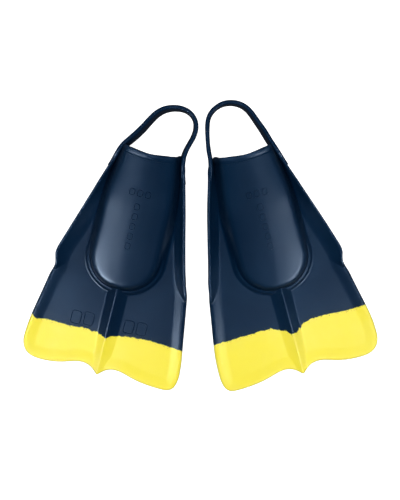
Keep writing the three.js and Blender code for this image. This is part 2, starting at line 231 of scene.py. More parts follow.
world = bpy.data.worlds.new("studio")
world.use_nodes = True
sky = world.node_tree.nodes["Background"].inputs
sky["Color"].default_value = SKY_COLOUR
sky["Strength"].default_value = SKY_STRENGTH
bpy.context.scene.world = world
print("lights:", len(bpy.data.lights))

# %% [markdown]
# ## Shader maths as Python
#
# A rubber finish is mostly small sums: a little cloudiness added to the colour, a little
# grain to the roughness. Written out as nodes these are hard to read, so one small class
# wraps a socket and turns Python's operators into Math nodes. Colours go through Mix nodes.

# %% The socket wrapper and the material builder
def connect(tree, socket, value):
    """Gives an input a number, or another node's output."""
    if isinstance(value, bpy.types.NodeSocket):
        tree.links.new(value, socket)
    else:
        socket.default_value = value


def operator(operation, swapped=False):
    """One of Python's operators as a Math node."""
    def apply(self, other):
        values = (other, self) if swapped else (self, other)
        return self.shader.node("ShaderNodeMath", {"operation": operation}, *values)
    return apply


class Value:
    """A shader socket that carries a number, with Python's operators on it."""

    __add__, __radd__ = operator("ADD"), operator("ADD", True)
    __sub__, __rsub__ = operator("SUBTRACT"), operator("SUBTRACT", True)
    __mul__, __rmul__ = operator("MULTIPLY"), operator("MULTIPLY", True)

    def __init__(self, shader, socket):
        self.shader = shader
        self.socket = socket

    def step(self, low, high):
        """0 below low, 1 above high, and a soft ramp between them."""
        settings = {"interpolation_type": "SMOOTHSTEP"}
        return self.shader.node("ShaderNodeMapRange", settings, self, low, high, 0.0, 1.0)


class Shader:
    """Builds one material's node tree."""

    def __init__(self, name):
        self.material = bpy.data.materials.new(name)
        self.material.use_nodes = True
        self.tree = self.material.node_tree
        self.surface = self.tree.nodes["Principled BSDF"]

    def node(self, kind, settings, *values, output=0):
        """Any node: its settings first, then its inputs in order; None skips one."""
        made = self.tree.nodes.new(kind)
        for key, value in settings.items():
            setattr(made, key, value)
        sockets = [socket for socket in made.inputs if socket.enabled]
        for socket, value in zip(sockets, values):
            if value is not None:
                connect(self.tree, socket, getattr(value, "socket", value))
        outputs = [socket for socket in made.outputs if socket.enabled]
        return Value(self, outputs[output])

    def noise(self, place, scale, detail, roughness=0.55):
        settings = {"noise_dimensions": "3D"}
        return self.node("ShaderNodeTexNoise", settings, place, scale, detail, roughness)

    def mix(self, factor, first, second):
        return self.node("ShaderNodeMix", {"data_type": "RGBA"}, factor, first, second)

    def attribute(self, name):
        """A number stored on the mesh."""
        return self.node("ShaderNodeAttribute", {"attribute_name": name}, output=2)

    def feed(self, **links):
        """Sets the surface's inputs, by name, to numbers or to other nodes."""
        for name, value in links.items():
            socket = self.surface.inputs[name.replace("_", " ")]
            connect(self.tree, socket, getattr(value, "socket", value))


def srgb(red, green, blue):
    """A colour from 0 to 255 as linear light, with alpha."""
    def linear(channel):
        part = channel / 255
        return part / 12.92 if part <= 0.04045 else ((part + 0.055) / 1.055) ** 2.4
    return (linear(red), linear(green), linear(blue), 1.0)


# %% [markdown]
# ## The rubber
#
# Moulded rubber is neither matt nor glossy. It comes out of the mould with a soft sheen, a
# very fine grain, and a faint cloudiness where wax in the rubber has come to the surface.
# Edges that rub on sand and on each other turn duller and paler, and that paler colour
# also stands as a painted highlight along the exposed edges and the rib's crest. The meshes
# carry two numbers that the finish reads: one for wear and painted highlight, which is 1
# along exposed edges, and `line`, the distance in millimetres from the line where navy
# rubber meets yellow. Rubber creeps across that line in the mould, so a few flecks of one
# colour sit in the other.

# %% Navy and yellow rubber
def rubber(name, base, bloom, worn_and_highlight, flecks, roughness, sheen_tint):
    """A satin moulded rubber: base colour, cloudy bloom, worn edges that also carry a painted
    highlight, and flecks by the line.
    """
    shader = Shader(name)
    place = shader.node("ShaderNodeTexCoord", {}, output=3)
    cloud = shader.noise(place, scale=11.0, detail=4.0)
    patch = shader.noise(place, scale=60.0, detail=3.0)
    grain = shader.noise(place, scale=1100.0, detail=2.0)
    spots = shader.noise(place, scale=480.0, detail=2.0, roughness=0.6)
    wear = shader.attribute("wear")
    near = 1.0 - shader.attribute("line").step(0.0, 4.5)
    clouded = shader.mix(cloud.step(0.40, 0.72) * 0.6, base, bloom)
    # Exposed edges and the rib's crest mix towards the paler worn colour: rubbed wear and a painted
    # highlight.
    rubbed_and_highlit = shader.mix(wear * patch.step(0.3, 0.7) * 0.5, clouded, worn_and_highlight)
    colour = shader.mix(near * spots.step(0.58, 0.64), rubbed_and_highlit, flecks)
    shine = roughness + (cloud - 0.5) * 0.18 + (patch - 0.5) * 0.12 + wear * 0.08
    bump = shader.node("ShaderNodeBump", {}, 0.22, 0.0005, None, grain * 0.7 + patch * 0.3)
    shader.feed(Base_Color=colour, Roughness=shine, Normal=bump, IOR=1.5,
                Specular_Tint=sheen_tint)
    return shader.material


# The worn colours are paler: the colour of rubbed edges and also a painted highlight on them.
navy = rubber("moulded_navy_rubber", base=srgb(3, 27, 51), bloom=srgb(9, 36, 61),
              worn_and_highlight=srgb(44, 66, 94), flecks=srgb(70, 80, 50), roughness=0.35,
              sheen_tint=(0.62, 0.78, 1.0, 1.0))
yellow = rubber("moulded_yellow_rubber", base=srgb(255, 238, 64), bloom=srgb(255, 242, 96),
                worn_and_highlight=srgb(255, 240, 130), flecks=srgb(150, 150, 60), roughness=0.44,
                sheen_tint=(1.0, 1.0, 1.0, 1.0))
print("materials:", navy.name, yellow.name)

# %% [markdown]
# ## From rows of points to closed solids
#
# Most of a fin is a slab: a top surface and a bottom surface over the same outline. Each is
# a grid of points with the same rows and columns, so a closed solid is the top grid, the
# bottom grid turned over, and a wall between their borders. Working with grids keeps the
# edge loops along the rails and the rib, and that is what makes the highlights run clean.

# %% Mesh helpers
NO_LINE = 99.0  # for a piece that lies far from the line between the rubbers


def slab_faces(rows, columns):
    """Top grid, bottom grid turned over, and the wall between their borders."""
    top = np.arange(rows * columns).reshape(rows, columns)
    quads = np.stack([top[:-1, :-1], top[:-1, 1:], top[1:, 1:], top[1:, :-1]], axis=-1)
    quads = quads.reshape(-1, 4)
    ring = np.concatenate([top[0], top[1:, -1], top[-1, -2::-1], top[-2:0:-1, 0]])
    following = np.roll(ring, -1)
    wall = np.stack([ring, ring + top.size, following + top.size, following], axis=-1)
    return np.concatenate([quads, quads[:, ::-1] + top.size, wall])


def loop_faces(rings, count):
    """Quads between rings of count points each, where every ring closes on itself."""
    here = np.arange(rings * count).reshape(rings, count)
    beside = np.roll(here, -1, axis=1)
    return np.stack([here[:-1], beside[:-1], beside[1:], here[1:]], axis=-1).reshape(-1, 4)


def finish_mesh(name, mesh, wear, line=NO_LINE, crease=50):
    """Stores the finish's numbers, merges doubled points and shades the mesh smooth."""
    for key, numbers in (("wear", wear), ("line", line)):
        layer = mesh.attributes.new(key, "FLOAT", "POINT")
        layer.data.foreach_set("value", np.full(len(mesh.vertices), numbers, np.float32))
    work = bmesh.new()
    work.from_mesh(mesh)
    bmesh.ops.remove_doubles(work, verts=work.verts, dist=0.01 * MM)
    bmesh.ops.dissolve_degenerate(work, edges=work.edges, dist=0.001 * MM)
    bmesh.ops.recalc_face_normals(work, faces=work.faces)
    open_edges = sum(1 for edge in work.edges if not edge.is_manifold)
    work.to_mesh(mesh)
    work.free()
    mesh.shade_smooth()
    mesh.set_sharp_from_angle(angle=math.radians(crease))
    piece = bpy.data.objects.new(name, mesh)
    bpy.context.scene.collection.objects.link(piece)
    print(f"{name}: {len(mesh.polygons)} faces, {open_edges} open edges")
    return piece


def make_piece(name, fin, points, faces, material, **finish):
    """A finished mesh object at the origin, from points in the fin's millimetres."""
    mesh = bpy.data.meshes.new(name)
    mesh.from_pydata(fin.place(points).tolist(), [], [list(map(int, face)) for face in faces])
    mesh.materials.append(material)
    return finish_mesh(name, mesh, **finish)


# %% [markdown]
# ## The outline and the heights
#
# Everything that the slab pieces need is a formula of the place on the fin. The tables give
# its sides. The trailing edge has a pointed bump on the middle line, a hollow on each side of
# it, a broad lobe, and a round corner that is tighter on the side towards the other fin.

# %% Outline formulas
SIGNS = {"outboard": -1, "inboard": 1}
TIP_CORNERS = {"outboard": 25.0, "inboard": 15.0}
BUMP_Y = -2.6
HOLLOW_A = 23
HOLLOW_Y = 8.6
LOBE_Y = -1.2
TIP_WIDEST_Y = 22.0
POCKET_HALF_WIDTH = 53.4
TOE_CENTRE_Y = 158.0
TOE_LENGTH = 49.6
POCKET_WAIST_Y = 215.0
MOUTH_HALF_WIDTH = 44.0
MOUTH_Y = 293.6
MOUTH_DIP = 9.8
MOUTH_CURVE = 2.6
DENSE_Y = np.arange(-5, 310.5, 0.5)


def smooth_step(values, low, high):
    """0 below low, 1 above high, and a soft ramp between them."""
    part = np.clip((np.asarray(values, float) - low) / (high - low), 0, 1)
    return part * part * (3 - 2 * part)


def mix(first, second, part):
    """The first where part is 0, the second where it is 1."""
    return first + (second - first) * part


def smooth_table(dense, stations, values, width):
    """A table as a dense curve, with its corners softened over a few millimetres."""
    step = dense[1] - dense[0]
    reach = int(math.ceil(3 * width / step))
    weights = np.exp(-(np.arange(-reach, reach + 1) * step / width) ** 2)
    padded = np.pad(np.interp(dense, stations, values), reach, mode="edge")
    return np.convolve(padded, weights / weights.sum(), mode="valid")


SIDE_CURVES = {(fin.name, side): smooth_table(DENSE_Y, STATIONS, fin.sides[side], 2.0)
               for fin in FINS for side in SIGNS}


def half_width(fin, y, side):
    """Width of the fin from its middle line to one side: outboard where side is negative."""
    outer, inner = [np.interp(y, DENSE_Y, SIDE_CURVES[fin.name, name]) for name in SIGNS]
    return np.where(np.asarray(side) < 0, outer, inner)


def pocket_half_width(y):
    """Half the width of the foot pocket at its base."""
    y = np.asarray(y, float)
    toe = np.sqrt(np.clip(1 - ((TOE_CENTRE_Y - y) / TOE_LENGTH) ** 2, 0, 1))
    narrowing = np.clip((y - POCKET_WAIST_Y) / (296 - POCKET_WAIST_Y), 0, 1.3)
    eased = narrowing * narrowing * (1.6 - 0.6 * narrowing)
    side = mix(POCKET_HALF_WIDTH, MOUTH_HALF_WIDTH, eased)
    return np.where(y < TOE_CENTRE_Y, POCKET_HALF_WIDTH * toe, side)


def pocket_outline(side_y, angle, offset=0.0):
    """The base of the pocket, moved outwards by offset: one side, the toe, the other side."""
    side = np.stack([pocket_half_width(side_y) + offset, side_y], axis=1)
    toe = np.stack([(POCKET_HALF_WIDTH + offset) * np.sin(angle),
                    TOE_CENTRE_Y - (TOE_LENGTH + offset) * np.cos(angle)], axis=1)
    return np.concatenate([side, toe, (side * [-1, 1])[::-1]])


def bezier(start, first, second, end, count):
    """Points on a cubic curve with two handles."""
    part = np.linspace(0, 1, count)[:, None]
    points = [np.array(point, float) for point in (start, first, second, end)]
    weights = [(1 - part) ** 3, 3 * part * (1 - part) ** 2, 3 * part ** 2 * (1 - part), part ** 3]
    return sum(weight * point for weight, point in zip(weights, points))


def trailing_half(fin, side):
    """The trailing edge from the middle line to the widest place on one side."""
    radius = TIP_CORNERS[side]
    widest = float(half_width(fin, TIP_WIDEST_Y, SIGNS[side]))
    flat_end = widest - radius - 4
    bump = bezier((0, BUMP_Y), (4.5, -1.0), (9, HOLLOW_Y), (HOLLOW_A, HOLLOW_Y), 40)
    lobe = bezier((HOLLOW_A, HOLLOW_Y), (38, HOLLOW_Y), (46, LOBE_Y), (flat_end, LOBE_Y), 40)
    corner = bezier((flat_end, LOBE_Y), (widest - radius * 0.35, LOBE_Y),
                    (widest - radius * 0.06, radius * 0.3), (widest, TIP_WIDEST_Y), 40)
    return np.concatenate([bump, lobe[1:], corner[1:]])


def tip_outline(fin):
    """The whole outline below y = 140: side, corner, trailing edge, corner, side."""
    outer = trailing_half(fin, "outboard") * [-1, 1]
    inner = trailing_half(fin, "inboard")
    side_y = np.linspace(140, TIP_WIDEST_Y + 0.5, 90)
    left = np.stack([-half_width(fin, side_y, -1), side_y], axis=1)
    right = np.stack([half_width(fin, side_y, 1), side_y], axis=1)
    return np.concatenate([left, outer[::-1], inner[1:], right[::-1]])


OUTLINES = {fin.name: tip_outline(fin) for fin in FINS}


def edge_distance(fin, a, y):
    """Distance from places on the fin to its outline."""
    beside = np.clip((half_width(fin, y, a) - np.abs(a)) * 0.965, 0, None)
    place = np.stack([a, y], axis=-1).reshape(-1, 2)
    outline = OUTLINES[fin.name]
    best = np.full(len(place), 1e9)
    for first, vector in zip(outline[:-1], np.diff(outline, axis=0)):
        part = np.clip(((place - first) @ vector) / (vector @ vector), 0, 1)
        gap = place - first - part[:, None] * vector
        best = np.minimum(best, np.einsum("ij,ij->i", gap, gap))
    true = np.sqrt(best).reshape(np.shape(a))
    return mix(true, beside, smooth_step(y, 131, 138))


for fin in FINS:
    widths = [round(float(half_width(fin, TIP_WIDEST_Y, side)), 1) for side in SIGNS.values()]
    print(fin.name, "half widths at the tip:", widths)

# %% [markdown]
# ## Rails, beads, web and rib as heights
#
# The web is a flat sheet, 6 mm thick at the toe and 3.5 mm at the tip. On it stand the two
# rails. Each has a thin lip along the outer edge and falls away inwards in a hollow curve
# that ends in a scoop beside the toe. The outboard rail's hollow is wide and soft, the
# inboard one's is narrow and crisp. Below the rails the edges carry low beads, and a ridge
# with one steep flank and one soft flank runs down the middle.

# %% Height formulas
RAIL_LIP = 3.0
RAIL_LIP_Z = 26.0
RAIL_LIP_SLOPE = 0.075
RAIL_START_Y = 119.0
RAIL_CLIMB = 12.0
RAIL_BOTTOM_Z = 2.0
RAIL_SINK = 0.6  # the share of its height that the rail loses beside the mouth
RAIL_SINK_ROWS = (284, 300)
SCOOP_START_Y = 152.0
SCOOP_END_Y = 118.0
RAIL_STYLES = {"reach": (21.5, 15.5), "scoop": (0.7, 0.5), "hollow": (1.45, 1.12)}
BEAD_INNER = 18.0
BEAD_OUTER = 3.5
RIB_OUTBOARD = 13.5
RIB_INBOARD = 15.0
RIB_CREST = 0.6
RIB_HEIGHTS = (3.0, 9.8)  # at the tip and where the blade bends
RIB_TIP_WIDTH = 0.78
RIB_TOP_Y = 118.0
WEB_TOP = 17.0
SOLE_HIDE_TOP = 3.5
SOLE_HIDE_BOTTOM = 1.5

# Pairs of millimetres: at the tip and at the toe of the pocket.
MIDDLE_Z = (9.0, 14.0)
HALF_WEB = (1.75, 3.0)
UPPER_BEAD = (1.0, 3.2)
LOWER_BEAD = (0.6, 4.0)
BLADE_EDGE_ROUND = (1.9, 4.2)
RAIL_EDGE_ROUND = 1.5
EASE_END_Y = 135.0
EASE = 1.7


def along_blade(pair, y):
    """From a pair's first number at the tip, eased to its second just before the pocket."""
    part = 1 - (1 - np.clip(np.asarray(y, float) / EASE_END_Y, 0, 1)) ** EASE
    return mix(*pair, part)


def rail_lip_z(y):
    """Height of the rail's lip, which rises towards the mouth."""
    return RAIL_LIP_Z + (y - 130) * RAIL_LIP_SLOPE


def soft_ramp(part, soft):
    """A straight ramp from 0 to 1 whose foot is a fillet."""
    shifted = part - soft
    ramp = (shifted + np.sqrt(shifted ** 2 + soft ** 2 / 2)) / 2
    start = (-soft + np.sqrt(soft ** 2 * 1.5)) / 2
    end = (1 - soft + np.sqrt((1 - soft) ** 2 + soft ** 2 / 2)) / 2
    return np.clip((ramp - start) / (end - start), 0, 1)


def rib_height(a, y):
    """Height of the middle ridge above the web."""
    along = np.clip(y / FLEX_Y, -0.05, 1.1)
    tall = mix(*RIB_HEIGHTS, along)
    slim = mix(RIB_TIP_WIDTH, 1.0, np.clip(y / 60, 0, 1))
    steep = np.clip(1 + (a + RIB_CREST) / (RIB_OUTBOARD * slim), 0, 1)
    soft = np.clip(1 - (a - RIB_CREST) / (RIB_INBOARD * slim), 0, 1)
    flank = soft_ramp(steep, mix(0.20, 0.09, np.clip(along, 0, 1)))
    shape = np.where(a < 0, flank, soft ** 1.3)
    return tall * shape * (y < RIB_TOP_Y)


def rail_wall(distance, a, y):
    """How much of the rail's height stands at a distance from the edge, from 1 to 0."""
    reach, scoop, hollow = [np.where(a < 0, *RAIL_STYLES[key])
                            for key in ("reach", "scoop", "hollow")]
    along = np.clip((SCOOP_START_Y - y) / (SCOOP_START_Y - SCOOP_END_Y), 0, 1)
    reach = np.minimum(reach, 8.5 + (304 - y) * 0.13)  # slimmer towards the mouth
    reach = np.maximum(reach * np.clip(1 - along ** 2, 0, 1) ** scoop, RAIL_LIP + 0.6)
    part = np.clip((distance - RAIL_LIP) / (reach - RAIL_LIP), 0, 1)
    return (1 - part) ** hollow


def top_z(a, y, distance):
    """Upper face of the web with its rails, beads and rib."""
    web = along_blade(MIDDLE_Z, y) + along_blade(HALF_WEB, y)
    bead = along_blade(UPPER_BEAD, y) * (1 - smooth_step(distance, BEAD_OUTER, BEAD_INNER))
    end = np.clip((y - RAIL_START_Y) / RAIL_CLIMB, 0, 1)
    stands = np.sqrt(1 - (1 - end) ** 2.2) * (1 - RAIL_SINK * smooth_step(y, *RAIL_SINK_ROWS))
    rail = (rail_lip_z(y) - web) * stands * rail_wall(distance, a, y)
    return web + np.maximum(np.maximum(bead, rail), rib_height(a, y))


def bottom_z(y, distance):
    """Lower face: rails that reach nearly to the floor, and beads below the blade."""
    web = along_blade(MIDDLE_Z, y) - along_blade(HALF_WEB, y)
    bead = along_blade(LOWER_BEAD, y) * (1 - smooth_step(distance, 2, 16))
    rail = (web - RAIL_BOTTOM_Z) * (1 - smooth_step(distance, 5.0, 12.5))
    return web - mix(bead, np.maximum(rail, bead), smooth_step(y, 108, 130))


def edge_round(y):
    """Radius of the rounding along the outer edge."""
    return mix(along_blade(BLADE_EDGE_ROUND, y), RAIL_EDGE_ROUND, smooth_step(y, 116, 134))


def rounded(top, bottom, y, distance):
    """Rounds the outer edge over: both faces meet towards the edge."""
    radius = edge_round(y)
    inside = np.clip(1 - distance / radius, 0, 1)
    drop = radius * (1 - np.sqrt(1 - inside ** 2))
    room = (top - bottom) / 2 - 0.15
    scale = np.minimum(1, room / radius)
    return top - drop * scale, bottom + drop * scale


def pocket_inset(a, y):
    """How far a place lies inside the base of the foot pocket; negative outside it."""
    ring = np.hypot(a / POCKET_HALF_WIDTH, (TOE_CENTRE_Y - y) / TOE_LENGTH)
    return np.where(y < TOE_CENTRE_Y, (1 - ring) * TOE_LENGTH, pocket_half_width(y) - np.abs(a))


def slab_points(fin, a, y):
    """Top and bottom points of a slab piece over the places (a, y), and their finish values."""
    distance = edge_distance(fin, a, y)
    top = top_z(a, y, distance)
    bottom = bottom_z(y, distance)
    hidden = smooth_step(pocket_inset(a, y), 1.6, 4.1)
    ridge = along_blade(MIDDLE_Z, y) + along_blade(HALF_WEB, y) + rib_height(a, y)
    under = mix(top, SOLE_HIDE_TOP, hidden)
    top = np.where((y < RIB_TOP_Y) & (rib_height(a, y) > 0.3), np.maximum(under, ridge), under)
    bottom = mix(bottom, SOLE_HIDE_BOTTOM, hidden)
    top, bottom = rounded(top, bottom, y, distance)
    faces = [np.stack([a, y, z], axis=-1).reshape(-1, 3) for z in (top, bottom)]
    # The rib's crest and the outer edges get the paler worn colour: rubbed wear and a painted
    # highlight along them.
    crest_rub_and_highlight = np.exp(-(a / 1.6) ** 2) * (y < RIB_TOP_Y) * 0.6
    edges_rub_and_highlight = np.maximum(1 - smooth_step(distance, 0.5, 3.5), crest_rub_and_highlight)
    line = np.abs(y - colour_line(fin, a))
    values = {"wear": np.tile(edges_rub_and_highlight.reshape(-1), 2), "line": np.tile(line.reshape(-1), 2)}
    return np.concatenate(faces), values


# %% [markdown]
# ## Where navy meets yellow
#
# The two charges of rubber are laid in the mould by hand, and they flow together under
# pressure. The line between them wanders, dips towards the tip where the thick rib drew
# more navy rubber along, and is ragged near the middle. It is one function of the place
# across the fin. The navy piece ends on it and the yellow piece starts on it, so they meet.

# %% Colour line and columns
DENSE_A = np.arange(-112, 112.25, 0.25)
FINE_STEP = 0.9
BROAD_STEP = 3.4
FINE_RAGGED = (0.18, 0.62)  # millimetres: near the sides and near the middle
BROAD_RAGGED = (0.30, 0.55)
RAGGED = np.random.default_rng(11)
FINE_TEETH = RAGGED.normal(size=400)
BROAD_TEETH = RAGGED.normal(size=200)
COLOUR_CURVES = {fin.name: smooth_table(DENSE_A, *zip(*fin.colour_points), 1.8) for fin in FINS}


def wander(numbers, places):
    """Random numbers joined up by straight lines."""
    whole = np.clip(np.floor(places).astype(int), 0, len(numbers) - 2)
    return mix(numbers[whole], numbers[whole + 1], places - whole)


def colour_line(fin, a):
    """The y of the change of colour at each place across the fin."""
    a = np.asarray(a, float)
    shift = 0 if fin.mirrored else 37
    fine = wander(FINE_TEETH, (a + 115) / FINE_STEP + shift)
    broad = wander(BROAD_TEETH, (a + 115) / BROAD_STEP + shift)
    centre = np.exp(-(a / 44) ** 4)
    torn = fine * mix(*FINE_RAGGED, centre) + broad * mix(*BROAD_RAGGED, centre)
    return np.interp(a, DENSE_A, COLOUR_CURVES[fin.name]) + torn


ROUND_STATIONS = 1 - np.cos(np.linspace(0, math.pi / 2, 7))
INNER_STATIONS = np.linspace(0, 1, 25)[1:]
EDGE_ZONE = 23.0
RIB_STATIONS = np.linspace(-RIB_OUTBOARD - 1.5, RIB_INBOARD + 2, 45)
FILL_STATIONS = np.linspace(0, 1, 42)[1:-1]


def columns_at(fin, y):
    """Places across the fin at one y, from outboard to inboard."""
    radius = float(edge_round(y))
    rim = radius * ROUND_STATIONS
    zone = np.concatenate([rim, radius + (EDGE_ZONE - radius) * INNER_STATIONS])
    outer = -(float(half_width(fin, y, -1)) - zone)
    inner = (float(half_width(fin, y, 1)) - zone)[::-1]
    if inner[0] < RIB_STATIONS[-1] + 8:
        squeeze = np.linspace(outer[-1], inner[0], len(FILL_STATIONS) * 2 + len(RIB_STATIONS) + 2)
        return np.concatenate([outer, squeeze[1:-1], inner])
    left_fill = mix(outer[-1], RIB_STATIONS[0], FILL_STATIONS)
    right_fill = mix(RIB_STATIONS[-1], inner[0], FILL_STATIONS)
    return np.concatenate([outer, left_fill, RIB_STATIONS, right_fill, inner])


def follow_sides(fin, a, y_drawn, y_now):
    """Moves places that were drawn at one y so that they keep to the sides at another."""
    return a * half_width(fin, y_now, a) / half_width(fin, y_drawn, a)


def seam_row(fin):
    """The row of points on the colour line, shared by the navy and the yellow pieces."""
    drawn = columns_at(fin, fin.colour_y)
    y = colour_line(fin, drawn)
    return follow_sides(fin, drawn, fin.colour_y, y), y


print("columns across the fin:", len(columns_at(FINS[0], 60)))

# %% [markdown]
# ## The navy slab
#
# One grid runs from the colour line to the mouth of the foot pocket. Its columns keep a
# fixed distance from the outer edge near the rails and from the middle line near the rib,
# so no feature crosses them at a slant. Under the foot pocket the slab dives into the sole,
# inside the pocket's wall, where it can't be seen.

# %% Build the navy slab
SLAB_START_Y = 80.0
CLOSE_ROWS = (112, 156)  # round the rail's end and the toe
SLAB_END_Y = 294.0
INNER_RAIL_END_Y = 301.0


def navy_slab(fin):
    """Web, rails, beads and rib, from the colour line to the mouth."""
    body_y = np.concatenate([np.linspace(low, high, count)[1:] for low, high, count in
                             ((SLAB_START_Y, CLOSE_ROWS[0], 23), (*CLOSE_ROWS, 42),
                              (CLOSE_ROWS[1], SLAB_END_Y, 74))])
    first_a, first_y = seam_row(fin)
    rows_a, rows_y = [first_a], [first_y]
    for part in np.linspace(0, 1, 17)[1:]:
        y = mix(first_y, SLAB_START_Y, part)
        drawn_y = mix(fin.colour_y, SLAB_START_Y, part)
        rows_a.append(follow_sides(fin, columns_at(fin, drawn_y), drawn_y, y))
        rows_y.append(y)
    for y in body_y:
        rows_a.append(columns_at(fin, y))
        rows_y.append(np.full(len(first_a), y))
    a, y = np.array(rows_a), np.array(rows_y)
    late = smooth_step(y, 272, SLAB_END_Y) * smooth_step(a, 38, 42.5)
    stretched = y + (INNER_RAIL_END_Y - SLAB_END_Y) * late
    a = follow_sides(fin, a, y, stretched) * (1 - 0.05 * smooth_step(stretched, 290, 301))
    points, values = slab_points(fin, a, stretched)
    return make_piece(f"{fin.name}_rubber_blade", fin, points, slab_faces(*a.shape), navy, **values)


slabs = {fin.name: navy_slab(fin) for fin in FINS}

# %% [markdown]
# ## The yellow tip
#
# The tip has no straight end to run rows to: its outline is a scallop with round corners.
# Four curved borders (the colour line, the two sides and the trailing edge) are filled by
# the formula that sheet-metal lofting uses, a Coons patch: blend opposite borders and take
# away what was counted twice. The columns of the rib stay straight all the way down.

# %% Build the yellow tip
def along_curve(points, parts):
    """Points at shares of a polyline's length, measured over its first two columns."""
    steps = np.linalg.norm(np.diff(points[:, :2], axis=0), axis=1)
    reach = np.concatenate([[0], np.cumsum(steps)])
    columns = [np.interp(parts * reach[-1], reach, column) for column in points.T]
    return np.stack(columns, axis=-1)


def corner_split(fin, side):
    """One half of the trailing edge, cut where its corner has turned by half."""
    half = trailing_half(fin, side)
    run = np.diff(half, axis=0)
    turned = np.arctan2(run[:, 1], run[:, 0])
    past = np.where((half[1:, 0] > 70) & (turned > math.pi / 4))[0]
    return half[:past[0] + 1], half[past[0]:]


def tip_side(fin, side, top_y):
    """Border from the colour line down one side to the middle of the corner."""
    sign = SIGNS[side]
    lower = corner_split(fin, side)[1][::-1]
    side_y = np.linspace(top_y, TIP_WIDEST_Y, 30)[:-1]
    upper = np.stack([half_width(fin, side_y, sign), side_y], axis=1)
    return np.concatenate([upper, lower]) * [sign, 1]


def yellow_tip(fin):
    """The blade's tip, with its beads and the end of the rib."""
    radius = float(edge_round(30))
    first_a, first_y = seam_row(fin)
    upper = np.stack([first_a, first_y], axis=1)
    outer_half, inner_half = [corner_split(fin, side)[0] for side in SIGNS]
    trailing = np.concatenate([(outer_half * [-1, 1])[::-1], inner_half[1:]])
    knots = [first_a[0], RIB_STATIONS[0], RIB_STATIONS[-1], first_a[-1]]
    lower_knots = [trailing[0, 0], RIB_STATIONS[0], RIB_STATIONS[-1], trailing[-1, 0]]
    lower_a = np.interp(first_a, knots, lower_knots)
    lower = np.stack([lower_a, np.interp(lower_a, trailing[:, 0], trailing[:, 1])], axis=1)
    span = fin.colour_y - 3
    end_rows = 1 - radius * ROUND_STATIONS[::-1] / span
    parts = np.concatenate([np.linspace(0, end_rows[0], 36)[:-1], end_rows])
    left, right = [along_curve(tip_side(fin, side, first_y[end]), parts)
                   for side, end in (("outboard", 0), ("inboard", -1))]
    share = ((first_a - first_a[0]) / (first_a[-1] - first_a[0]))[None, :, None]
    down = parts[:, None, None]
    across = mix(left[:, None], right[:, None], share)
    lengthwise = mix(upper[None], lower[None], down)
    corners = mix(mix(upper[0], upper[-1], share), mix(lower[0], lower[-1], share), down)
    patch = across + lengthwise - corners
    points, values = slab_points(fin, patch[..., 0], patch[..., 1])
    faces = slab_faces(*patch.shape[:2])
    return make_piece(f"{fin.name}_yellow_tip", fin, points, faces, yellow, **values)


tips = {fin.name: yellow_tip(fin) for fin in FINS}

# %% [markdown]
# ## The foot pocket
#
# The upper of the pocket is a vaulted shell, 4.5 mm thick. Lines run from its base outline up
# the wall to a spine along the middle of the roof, and fan out round the toe. Each line is a
# smooth B-spline through a handful of control points: a flange that feathers out on the web,
# a small fillet, the steep wall, a round shoulder and the roof, which is nearly flat at the
# toe and arched at the mouth. Round the toe the wall is stepped by a narrow ledge. The inner
# face is a simpler family of lines, and a rolled lip joins the two round the mouth.

# %% Pocket formulas
POCKET_WALL = 4.5
WALL_FOOT_Z = 4.5
ROOF_TOE_Y = 123.0
SHOULDER_DROP = 3.8
SHOULDER_IN = 8.8
LIP_RISE = 0.6
LINE_SAMPLES = 58


def roof_z(a, y):
    """Height of the roof, if it ran on over the walls."""
    spine = 36.5 + np.clip(y - ROOF_TOE_Y, -20, None) * 0.147
    crown = 6.5 + 2.5 * smooth_step(y, 150, 215) + 6.5 * smooth_step(y, 225, 285)
    return spine - crown * (np.abs(a) / 48.0) ** 2


def mouth_y(a):
    """The y where the roof ends at each place across the fin."""
    return MOUTH_Y + MOUTH_DIP * (np.abs(a) / MOUTH_HALF_WIDTH) ** MOUTH_CURVE


def pocket_lines():
    """Base point and spine point of every line, from one corner of the mouth to the other."""
    corner_y = MOUTH_Y + MOUTH_DIP
    lip = corner_y - np.array([0, 0.5, 1.1, 1.8, 2.6, 3.6, 4.8])
    side_y = np.concatenate([lip, np.linspace(lip[-1], TOE_CENTRE_Y, 78)[1:]])
    angle = np.linspace(math.pi / 2, -math.pi / 2, 110)[1:-1]
    spine_side_y = mix(TOE_CENTRE_Y, MOUTH_Y, (side_y - TOE_CENTRE_Y) / (corner_y - TOE_CENTRE_Y))
    spine_toe_y = TOE_CENTRE_Y - 25 * np.cos(angle) ** 1.5
    spine = np.concatenate([spine_side_y, spine_toe_y, spine_side_y[::-1]])
    return pocket_outline(side_y, angle), np.stack([np.zeros(len(spine)), spine], axis=1)


def line_plan(base, spine, inward):
    """Plan places on the lines at distances inward from the base."""
    run = spine - base
    part = np.minimum(inward / np.linalg.norm(run, axis=1), 1)
    bent = np.where(base[:, 1] > TOE_CENTRE_Y, 1 - (1 - part) ** MOUTH_CURVE, part)
    return base[:, 0] * (1 - part), base[:, 1] + run[:, 1] * bent


def spline_weights(controls, samples, degree=2):
    """Weights of a clamped B-spline's control points at evenly spaced places."""
    knots = np.concatenate([[0] * degree, np.linspace(0, 1, controls - degree + 1), [1] * degree])
    places = np.linspace(0, 1 - 1e-9, samples)
    weights = [(places >= low) & (places < high) for low, high in zip(knots, knots[1:])]
    for order in range(1, degree + 1):
        gaps = knots[order:] - knots[:-order]
        shares = [(places - low) / gap if gap > 0 else 0 * places
                  for low, gap in zip(knots, gaps)]
        weights = [share * here + (1 - after) * following for share, after, here, following
                   in zip(shares, shares[1:], weights, weights[1:])]
    return np.array(weights).T


